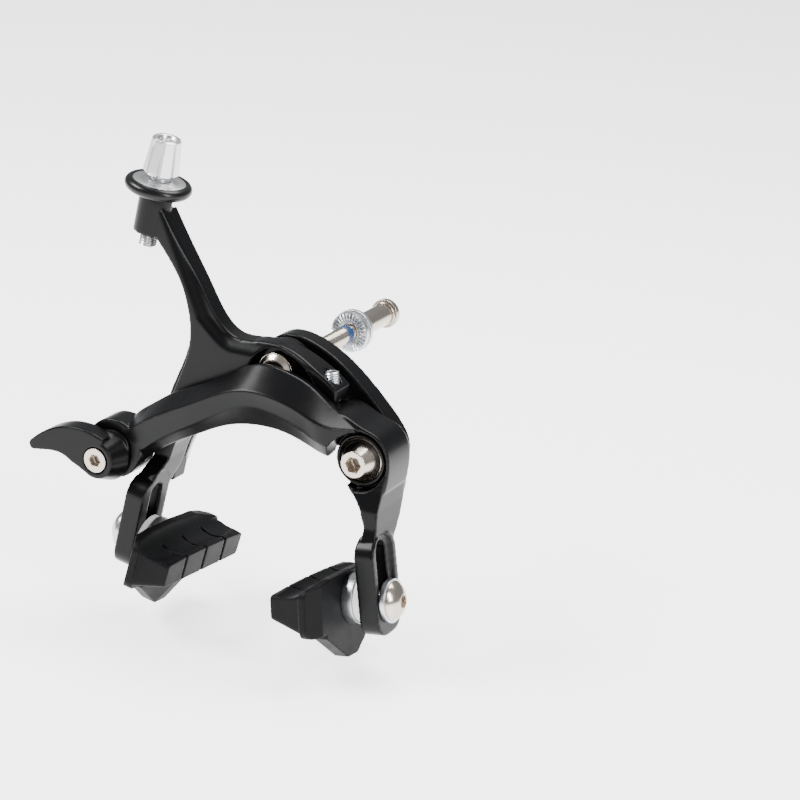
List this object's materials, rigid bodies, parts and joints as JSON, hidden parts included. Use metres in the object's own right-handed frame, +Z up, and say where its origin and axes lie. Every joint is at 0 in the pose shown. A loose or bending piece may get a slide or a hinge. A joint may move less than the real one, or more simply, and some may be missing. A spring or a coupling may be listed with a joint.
{
  "type": "rim brake caliper",
  "caption": "Dual-pivot side-pull rim brake caliper with long slotted arms, rubber pads, quick-release cable anchor and barrel adjuster, on a recessed centre bolt.",
  "frame": {"origin": "on the centre bolt's axis, in the plane of the fork crown's front face", "axes": "+Y rearward along the centre bolt into the fork, +Z up, +X to the right for someone in front of the bicycle looking at the caliper"},
  "size_m": [0.1385, 0.1153, 0.1626],
  "materials": {
    "black_anodised": "satin black anodised forged aluminium",
    "plated_steel": "nickel-plated steel, warm and bright",
    "zinc_steel": "zinc-plated steel, satin",
    "spring_steel": "stainless spring wire",
    "polished_aluminium": "polished",
    "white_nylon": "white nylon",
    "bronze": "plain bearing bronze",
    "black_rubber": "smooth rubber",
    "pad_rubber": "matt moulded rubber",
    "black_plastic": "moulded plastic"
  },
  "bodies": {
    "mount": {"bridge_plate": "black_anodised", "centre_bolt": "plated_steel", "centre_cap_nut": "plated_steel", "centre_front_thrust_washer": "bronze", "centre_rear_thrust_washer": "bronze", "side_pivot_bolt": "plated_steel", "side_thrust_washer": "bronze", "front_serrated_washer": "zinc_steel", "return_spring": "spring_steel"},
    "mounting_nut": {"rear_serrated_washer": "zinc_steel", "spacer_washer": "polished_aluminium", "mounting_nut": "plated_steel"},
    "side_arm": {"side_arm": "black_anodised", "side_pivot_bush": "bronze"},
    "centre_arm": {"centre_arm": "black_anodised", "centre_pivot_bush": "bronze", "spring_holder": "black_plastic"},
    "quick_release": {"quick_release_lever": "black_anodised", "anchor_bolt": "plated_steel", "cable_clamp_plate": "zinc_steel", "anchor_nut": "zinc_steel"},
    "adjuster_carriage": {"adjuster_washer": "white_nylon"},
    "adjuster": {"adjuster_barrel": "polished_aluminium", "adjuster_disc": "polished_aluminium", "adjuster_grip_ring": "black_rubber"},
    "centring_screw": {"centring_screw": "zinc_steel"},
    "left_pad_carriage": {"left_pad_bolt": "plated_steel", "left_outer_washer": "zinc_steel", "left_convex_washer": "white_nylon", "left_concave_washer": "zinc_steel"},
    "left_pad": {"left_brake_pad": "pad_rubber", "left_pad_insert": "zinc_steel"},
    "right_pad_carriage": {"right_pad_bolt": "plated_steel", "right_outer_washer": "zinc_steel", "right_convex_washer": "white_nylon", "right_concave_washer": "zinc_steel"},
    "right_pad": {"right_brake_pad": "pad_rubber", "right_pad_insert": "zinc_steel"}
  },
  "joints": [
    {"name": "side_arm_pivot", "type": "hinge", "parent": "mount", "child": "side_arm", "pos_m": [0.0355, -0.02, -0.022], "axis": [0, 1, 0], "range_deg": [0, 9], "stiffness_Nm_per_rad": 1.2, "springref_deg": -28.65, "deforming": ["return_spring"]},
    {"name": "centre_arm_pivot", "type": "hinge", "parent": "mount", "child": "centre_arm", "pos_m": [0, -0.018, 0], "axis": [0, 1, 0], "range_deg": [-6.1, 0]},
    {"name": "quick_release_turn", "type": "hinge", "parent": "side_arm", "child": "quick_release", "pos_m": [-0.0545, -0.03, -0.0348], "axis": [0, 1, 0], "range_deg": [0, 75]},
    {"name": "adjuster_turn", "type": "hinge", "parent": "adjuster_carriage", "child": "adjuster", "pos_m": [-0.04702, -0.0211, 0.05762], "axis": [0.1771, 0, 0.9842], "range_deg": [0, 1440]},
    {"name": "adjuster_travel", "type": "slide", "parent": "centre_arm", "child": "adjuster_carriage", "axis": [0.1771, 0, 0.9842], "range_m": [0, 0.0032]},
    {"name": "centring_screw_turn", "type": "hinge", "parent": "centre_arm", "child": "centring_screw", "pos_m": [0.0198, -0.0202, 0.0036], "axis": [-0.1392, 0, 0.9903], "range_deg": [-180, 180]},
    {"name": "mounting_nut_travel", "type": "slide", "parent": "mount", "child": "mounting_nut", "axis": [0, 1, 0], "range_m": [0, 0.05]},
    {"name": "right_pad_height", "type": "slide", "parent": "side_arm", "child": "right_pad_carriage", "axis": [-0.1564, 0, 0.9877], "range_m": [-0.0008, 0.0172]},
    {"name": "right_pad_tilt", "type": "hinge", "parent": "right_pad_carriage", "child": "right_pad", "pos_m": [0.0459, -0.0286, -0.0682], "axis": [0.9877, 0, 0.1564], "range_deg": [-10, 10]},
    {"name": "left_pad_height", "type": "slide", "parent": "centre_arm", "child": "left_pad_carriage", "axis": [0.1908, 0, 0.9816], "range_m": [-0.0008, 0.0115]},
    {"name": "left_pad_tilt", "type": "hinge", "parent": "left_pad_carriage", "child": "left_pad", "pos_m": [-0.0475, -0.0286, -0.066], "axis": [-0.9816, 0, 0.1908], "range_deg": [-10, 10]}
  ],
  "couplings": [
    {"joint": "centre_arm_pivot", "follows": "side_arm_pivot", "ratio": -0.675},
    {"joint": "adjuster_turn", "follows": "adjuster_travel", "rad_per_m": 7854}
  ]
}
